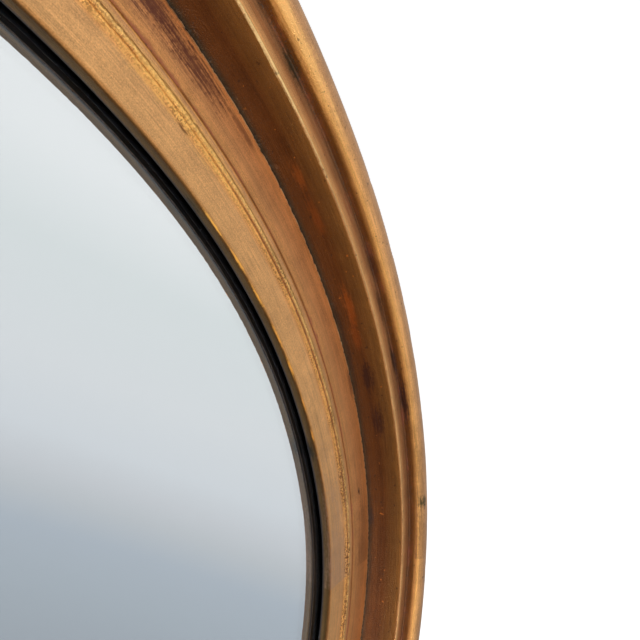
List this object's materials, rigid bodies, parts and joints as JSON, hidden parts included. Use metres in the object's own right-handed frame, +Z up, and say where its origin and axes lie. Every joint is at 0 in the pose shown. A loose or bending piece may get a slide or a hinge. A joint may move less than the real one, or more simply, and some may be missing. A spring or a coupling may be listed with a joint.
{
  "type": "oval wall mirror",
  "caption": "Oval wall mirror: gilded wood moulding with a half round and a deep cove, a flat beaded liner, thick glass, and strap hangers behind.",
  "frame": {"origin": "on the wall plane, behind the centre of the oval", "axes": "+Z up along the oval's long axis, +X to the right seen from the front, the front faces -Y"},
  "size_m": [0.5098, 0.059, 0.66],
  "materials": {
    "gilt_moulding": "gold leaf over red clay and gesso, rubbed and darkened, brown-toned in the cove",
    "gilt_liner": "gold leaf over red clay and gesso, coppery outer band and paler flat, worn at the edges",
    "base_wood": "old bare pine behind, ochre wash on the sides",
    "beech": "plain planed wood",
    "black_felt": "black felt slip",
    "pad_felt": "pressed grey felt",
    "glass": "polished float glass",
    "silvering": "silver in front, grey protective paint behind",
    "card": "plain brown card",
    "hardboard": "brown hardboard, screen side out",
    "zinc_steel": "zinc plated, slightly dulled",
    "steel_screw": "plated, slightly dulled"
  },
  "bodies": {
    "mirror": {"base_upper_right": "base_wood", "base_upper_left": "base_wood", "base_lower_left": "base_wood", "base_lower_right": "base_wood", "base_dowels": "beech", "moulding_top": "gilt_moulding", "moulding_right": "gilt_moulding", "moulding_bottom": "gilt_moulding", "moulding_left": "gilt_moulding", "moulding_dowels": "beech", "liner_top": "gilt_liner", "liner_right": "gilt_liner", "liner_bottom": "gilt_liner", "liner_left": "gilt_liner", "liner_tongues": "beech", "liner_screws": "steel_screw", "slip": "black_felt", "mirror_glass": "glass", "silver_coat": "silvering", "card_packing": "card", "backing_board": "hardboard", "turn_button_screws": "steel_screw", "hanger_strap_right": "zinc_steel", "hanger_strap_left": "zinc_steel", "hanger_screws": "steel_screw", "wall_pads": "pad_felt"},
    "button_upper_right": {"turn_button_upper_right": "zinc_steel"},
    "button_top": {"turn_button_top": "zinc_steel"},
    "button_upper_left": {"turn_button_upper_left": "zinc_steel"},
    "button_lower_left": {"turn_button_lower_left": "zinc_steel"},
    "button_bottom": {"turn_button_bottom": "zinc_steel"},
    "button_lower_right": {"turn_button_lower_right": "zinc_steel"},
    "ring_right": {"hanger_ring_right": "zinc_steel"},
    "ring_left": {"hanger_ring_left": "zinc_steel"}
  },
  "joints": [
    {"name": "button_upper_right_turn", "type": "hinge", "parent": "mirror", "child": "button_upper_right", "pos_m": [0.15449, -0.006, 0.17037], "axis": [0, 1, 0], "continuous": true},
    {"name": "button_top_turn", "type": "hinge", "parent": "mirror", "child": "button_top", "pos_m": [0, -0.006, 0.273], "axis": [0, 1, 0], "continuous": true},
    {"name": "button_upper_left_turn", "type": "hinge", "parent": "mirror", "child": "button_upper_left", "pos_m": [-0.15449, -0.006, 0.17037], "axis": [0, 1, 0], "continuous": true},
    {"name": "button_lower_left_turn", "type": "hinge", "parent": "mirror", "child": "button_lower_left", "pos_m": [-0.15449, -0.006, -0.17037], "axis": [0, 1, 0], "continuous": true},
    {"name": "button_bottom_turn", "type": "hinge", "parent": "mirror", "child": "button_bottom", "pos_m": [0, -0.006, -0.273], "axis": [0, 1, 0], "continuous": true},
    {"name": "button_lower_right_turn", "type": "hinge", "parent": "mirror", "child": "button_lower_right", "pos_m": [0.15449, -0.006, -0.17037], "axis": [0, 1, 0], "continuous": true},
    {"name": "ring_right_swing", "type": "hinge", "parent": "mirror", "child": "ring_right", "pos_m": [0.19987, -0.00322, 0.128], "axis": [1, 0, 0], "range_deg": [0, 180]},
    {"name": "ring_left_swing", "type": "hinge", "parent": "mirror", "child": "ring_left", "pos_m": [-0.19987, -0.00322, 0.128], "axis": [1, 0, 0], "range_deg": [0, 180]}
  ]
}
